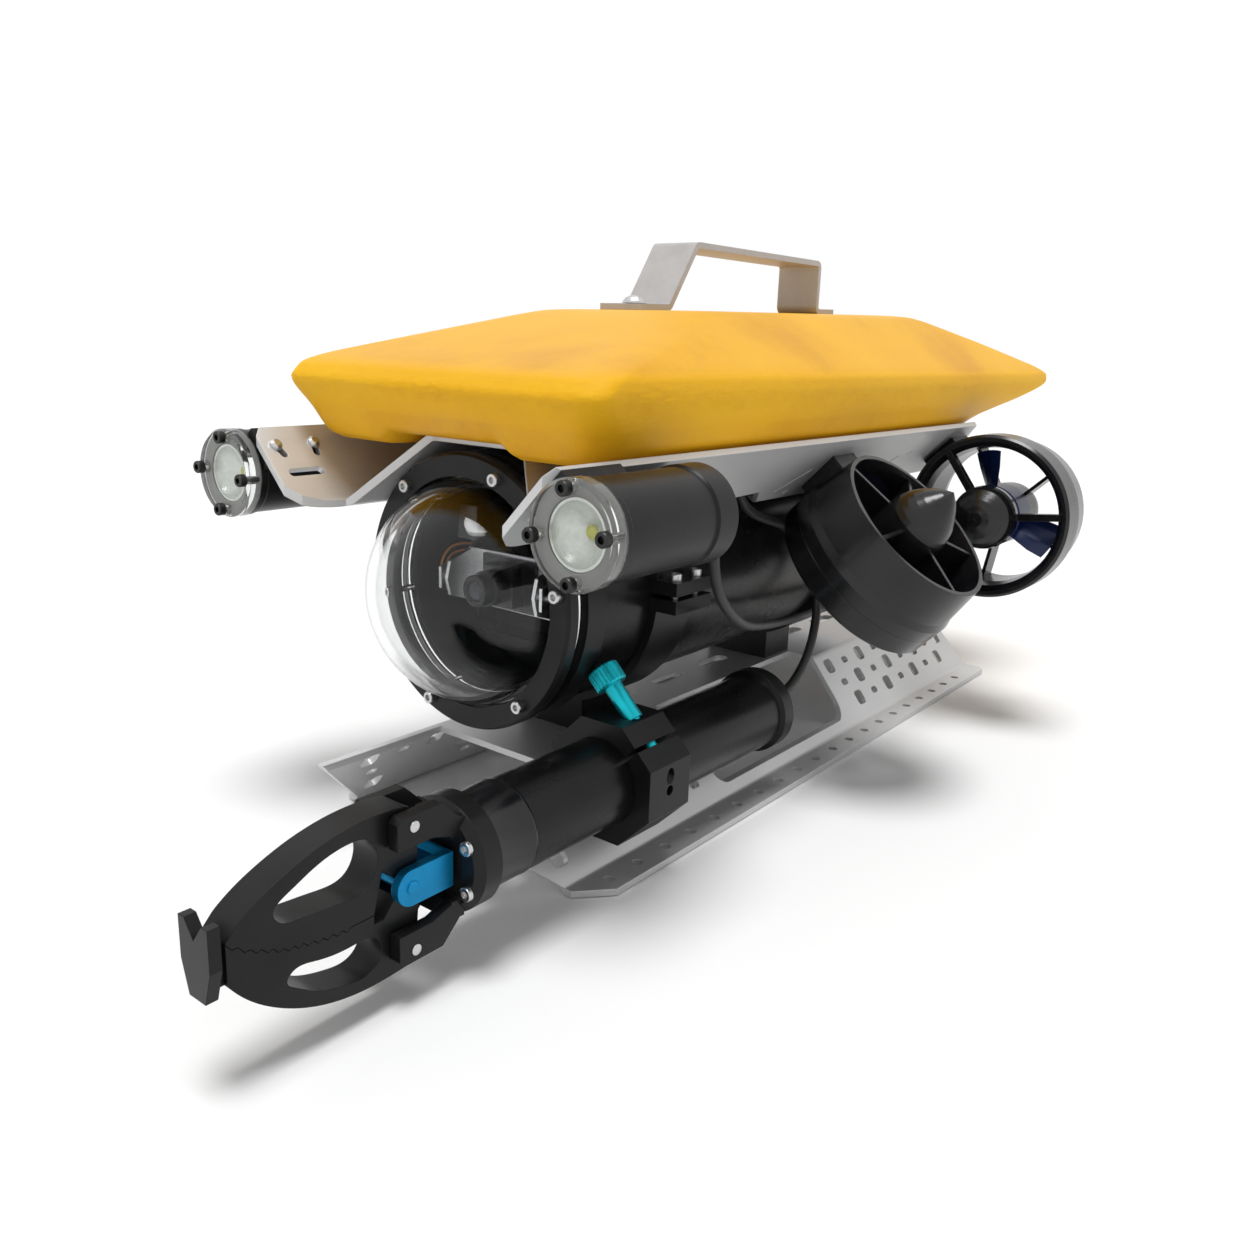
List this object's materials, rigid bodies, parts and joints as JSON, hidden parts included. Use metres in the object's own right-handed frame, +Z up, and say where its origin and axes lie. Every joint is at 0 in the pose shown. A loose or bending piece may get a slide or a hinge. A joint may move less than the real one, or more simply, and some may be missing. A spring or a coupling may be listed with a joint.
{
  "type": "underwater inspection vehicle",
  "caption": "Tethered underwater inspection vehicle: domed electronics tube between bent sheet frames, with float, handle, ducted thrusters, lamps and gripper.",
  "frame": {"origin": "middle of the bounding box on the ground under the skid feet", "axes": "+X forward towards the dome and jaws, +Y port, +Z up"},
  "size_m": [0.6404, 0.3172, 0.2683],
  "materials": {
    "battery_pack": "wrapped",
    "bottom_frame": "bare bent sheet",
    "cable_glands": "black anodised",
    "camera_cradle": "satin",
    "camera_frame": "brushed",
    "camera_module": "matt",
    "carry_handle": "satin",
    "clamp_screws": "machined",
    "control_board": "board",
    "dome_flange": "black anodised",
    "dome_retainer_ring": "black anodised",
    "dome_screws": "machined",
    "drive_link": "blue anodised",
    "electronics_tray": "satin",
    "enclosure_seals": "matt",
    "enclosure_tube": "black anodised",
    "float_block": "painted foam",
    "front_clamp_lower": "black anodised",
    "front_clamp_upper": "black anodised",
    "gripper_cable": "matt",
    "gripper_clamp": "black anodised",
    "gripper_head": "black anodised",
    "gripper_head_screws": "machined",
    "gripper_pins": "machined",
    "gripper_rear_cap": "black anodised",
    "gripper_tube": "black anodised",
    "handle_bolts": "machined",
    "lamp_brackets": "black anodised",
    "lamp_lens_screws": "black",
    "lamp_reflectors": "polished",
    "lower_jaw": "black anodised",
    "port_drive_duct": "moulded",
    "port_drive_guard": "moulded",
    "port_drive_propeller": "moulded",
    "port_lamp_cable": "matt",
    "port_lamp_housing": "black anodised",
    "port_lamp_lens": "clear",
    "port_lift_duct": "moulded",
    "port_lift_guard": "moulded",
    "port_lift_propeller": "moulded",
    "rear_cap_screws": "machined",
    "rear_clamp_lower": "black anodised",
    "rear_clamp_upper": "black anodised",
    "rear_end_cap": "black anodised",
    "rear_flange": "black anodised",
    "starboard_drive_duct": "moulded",
    "starboard_drive_guard": "moulded",
    "starboard_drive_propeller": "moulded",
    "starboard_lamp_housing": "black anodised",
    "starboard_lamp_lens": "clear",
    "starboard_lift_duct": "moulded",
    "starboard_lift_guard": "moulded",
    "starboard_lift_propeller": "moulded",
    "thumbscrew": "teal anodised",
    "tilt_servo": "matt",
    "top_frame": "bare bent sheet",
    "upper_jaw": "black anodised",
    "viewing_dome": "polished",
    "wing_screws": "machined"
  },
  "bodies": {
    "vehicle": {"battery_pack": "battery_pack", "bottom_frame": "bottom_frame", "cable_glands": "cable_glands", "camera_frame": "camera_frame", "carry_handle": "carry_handle", "clamp_screws": "clamp_screws", "control_board": "control_board", "dome_flange": "dome_flange", "dome_retainer_ring": "dome_retainer_ring", "dome_screws": "dome_screws", "electronics_tray": "electronics_tray", "enclosure_seals": "enclosure_seals", "enclosure_tube": "enclosure_tube", "float_block": "float_block", "front_clamp_lower": "front_clamp_lower", "front_clamp_upper": "front_clamp_upper", "gripper_cable": "gripper_cable", "gripper_clamp": "gripper_clamp", "gripper_head": "gripper_head", "gripper_head_screws": "gripper_head_screws", "gripper_pins": "gripper_pins", "gripper_rear_cap": "gripper_rear_cap", "gripper_tube": "gripper_tube", "handle_bolts": "handle_bolts", "lamp_brackets": "lamp_brackets", "lamp_lens_screws": "lamp_lens_screws", "lamp_reflectors": "lamp_reflectors", "port_drive_duct": "port_drive_duct", "port_drive_guard": "port_drive_guard", "port_lamp_cable": "port_lamp_cable", "port_lamp_housing": "port_lamp_housing", "port_lamp_lens": "port_lamp_lens", "port_lift_duct": "port_lift_duct", "port_lift_guard": "port_lift_guard", "rear_cap_screws": "rear_cap_screws", "rear_clamp_lower": "rear_clamp_lower", "rear_clamp_upper": "rear_clamp_upper", "rear_end_cap": "rear_end_cap", "rear_flange": "rear_flange", "starboard_drive_duct": "starboard_drive_duct", "starboard_drive_guard": "starboard_drive_guard", "starboard_lamp_housing": "starboard_lamp_housing", "starboard_lamp_lens": "starboard_lamp_lens", "starboard_lift_duct": "starboard_lift_duct", "starboard_lift_guard": "starboard_lift_guard", "tilt_servo": "tilt_servo", "top_frame": "top_frame", "viewing_dome": "viewing_dome", "wing_screws": "wing_screws"},
    "camera_tilt": {"camera_cradle": "camera_cradle", "camera_module": "camera_module"},
    "upper_jaw": {"upper_jaw": "upper_jaw"},
    "lower_jaw": {"lower_jaw": "lower_jaw"},
    "drive": {"drive_link": "drive_link"},
    "thumbscrew": {"thumbscrew": "thumbscrew"},
    "port_drive_propeller": {"port_drive_propeller": "port_drive_propeller"},
    "port_lift_propeller": {"port_lift_propeller": "port_lift_propeller"},
    "starboard_drive_propeller": {"starboard_drive_propeller": "starboard_drive_propeller"},
    "starboard_lift_propeller": {"starboard_lift_propeller": "starboard_lift_propeller"}
  },
  "joints": [
    {"name": "port_lift_spin", "type": "hinge", "parent": "vehicle", "child": "port_lift_propeller", "pos_m": [-0.03205, 0.09209, 0.10774], "axis": [0, 0.6896, 0.7242], "continuous": true},
    {"name": "port_drive_spin", "type": "hinge", "parent": "vehicle", "child": "port_drive_propeller", "pos_m": [-0.15705, 0.11106, 0.12766], "axis": [-1, 0, 0], "continuous": true},
    {"name": "starboard_lift_spin", "type": "hinge", "parent": "vehicle", "child": "starboard_lift_propeller", "pos_m": [-0.03205, -0.09209, 0.10774], "axis": [0, -0.6896, 0.7242], "continuous": true},
    {"name": "starboard_drive_spin", "type": "hinge", "parent": "vehicle", "child": "starboard_drive_propeller", "pos_m": [-0.15705, -0.11106, 0.12766], "axis": [-1, 0, 0], "continuous": true},
    {"name": "camera_tilt", "type": "hinge", "parent": "vehicle", "child": "camera_tilt", "pos_m": [0.13295, 0, 0.114], "axis": [0, 1, 0], "range_deg": [-45, 45]},
    {"name": "gripper_drive", "type": "slide", "parent": "vehicle", "child": "drive", "axis": [1, 0, 0], "range_m": [0, 0.0095]},
    {"name": "upper_jaw_swing", "type": "hinge", "parent": "vehicle", "child": "upper_jaw", "pos_m": [0.24995, 0.0675, 0.0663], "axis": [0, -1, 0], "range_deg": [0, 30]},
    {"name": "lower_jaw_swing", "type": "hinge", "parent": "vehicle", "child": "lower_jaw", "pos_m": [0.24995, 0.0675, 0.0213], "axis": [0, 1, 0], "range_deg": [0, 30]},
    {"name": "thumbscrew_turn", "type": "hinge", "parent": "vehicle", "child": "thumbscrew", "pos_m": [0.12595, 0.07394, 0.06862], "axis": [0, -0.7071, 0.7071], "continuous": true}
  ],
  "couplings": [
    {"joint": "upper_jaw_swing", "follows": "gripper_drive", "rad_per_m": 55},
    {"joint": "lower_jaw_swing", "follows": "gripper_drive", "rad_per_m": 55}
  ]
}
